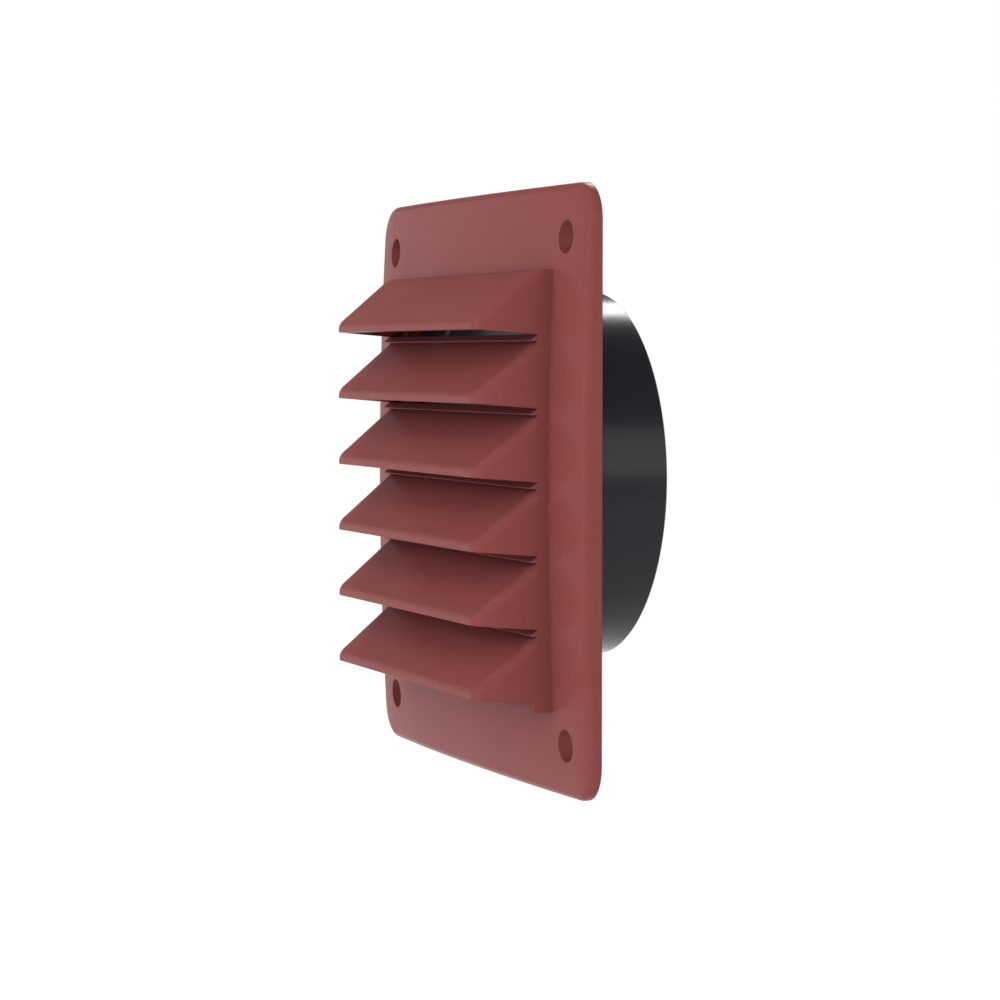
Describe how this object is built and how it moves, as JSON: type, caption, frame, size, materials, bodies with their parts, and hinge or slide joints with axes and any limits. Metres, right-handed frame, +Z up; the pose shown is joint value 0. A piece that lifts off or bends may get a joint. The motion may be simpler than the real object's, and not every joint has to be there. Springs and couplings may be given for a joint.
{
  "type": "vent grille",
  "caption": "Square external wall vent grille with hooded fixed louvres on a domed flange and a round duct spigot at the back.",
  "frame": {"origin": "middle of the nearly square flange, on the plane that lies against the wall", "axes": "front faces -Y, the duct spigot runs to +Y, X to the right and Z up"},
  "size_m": [0.155, 0.0563, 0.1562],
  "materials": {
    "cover_plastic": "satin terracotta red moulding",
    "spigot_plastic": "gloss black moulding"
  },
  "bodies": {
    "root": {"front_cover": "cover_plastic", "duct_spigot": "spigot_plastic"}
  },
  "joints": []
}
